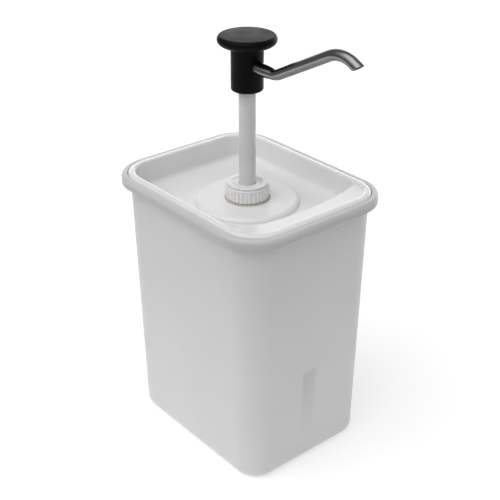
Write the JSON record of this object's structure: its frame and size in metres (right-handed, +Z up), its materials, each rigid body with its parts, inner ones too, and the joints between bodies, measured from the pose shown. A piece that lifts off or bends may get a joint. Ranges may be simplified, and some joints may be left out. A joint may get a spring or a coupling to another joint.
{
  "type": "condiment pump dispenser",
  "caption": "Tall white plastic tub with a drop-in tray lid, a central hand pump with a black push knob and a bent steel spout, for serving sauces.",
  "frame": {"origin": "centre of the tub's flat base, on the surface that it stands on", "axes": "+Z up along the pump's axis, +X towards the spout, along the tub's long side"},
  "size_m": [0.1892, 0.1324, 0.3208],
  "materials": {
    "tub_plastic": "satin moulded polyethylene",
    "lid_plastic": "smooth glossy moulded plastic",
    "collar_plastic": "smooth moulded plastic",
    "stem_plastic": "smooth extruded plastic",
    "pump_plastic": "natural translucent polypropylene",
    "tube_plastic": "natural translucent tube",
    "black_plastic": "satin black moulded plastic",
    "silicone": "pale tan silicone",
    "seal_rubber": "black nitrile rubber",
    "spout_steel": "polished stainless steel",
    "spring_steel": "drawn stainless wire",
    "ball_steel": "polished stainless steel"
  },
  "bodies": {
    "tub": {"container": "tub_plastic"},
    "lid_unit": {"lid": "lid_plastic", "base_gasket": "silicone", "flange_gasket": "silicone", "collar_nut": "collar_plastic", "collar_cap": "collar_plastic", "stem_wiper": "silicone", "pump_barrel": "pump_plastic", "foot_valve": "pump_plastic", "foot_valve_washer": "silicone", "inlet_ball_cage": "pump_plastic", "dip_tube": "tube_plastic", "return_spring": "spring_steel"},
    "plunger": {"stem": "stem_plastic", "piston": "pump_plastic", "piston_seal_lower": "seal_rubber", "piston_seal_upper": "seal_rubber", "outlet_stop_pin": "ball_steel", "stem_oring": "seal_rubber"},
    "head": {"pump_head": "black_plastic", "spout_tube": "spout_steel", "spout_oring": "seal_rubber"},
    "inlet_valve": {"inlet_ball": "ball_steel"},
    "outlet_valve": {"outlet_ball": "ball_steel"}
  },
  "joints": [
    {"name": "lid_lift", "type": "slide", "parent": "tub", "child": "lid_unit", "axis": [0, 0, 1], "range_m": [0, 0.215]},
    {"name": "plunger_press", "type": "slide", "parent": "lid_unit", "child": "plunger", "axis": [0, 0, -1], "range_m": [0, 0.065], "stiffness_N_per_m": 200, "springref_m": -0.03, "deforming": ["return_spring"]},
    {"name": "head_swivel", "type": "hinge", "parent": "plunger", "child": "head", "pos_m": [0, 0, 0.2717], "axis": [0, 0, 1], "continuous": true},
    {"name": "inlet_ball_lift", "type": "slide", "parent": "lid_unit", "child": "inlet_valve", "axis": [0, 0, 1], "range_m": [0, 0.003]},
    {"name": "outlet_ball_lift", "type": "slide", "parent": "plunger", "child": "outlet_valve", "axis": [0, 0, 1], "range_m": [0, 0.003]}
  ]
}
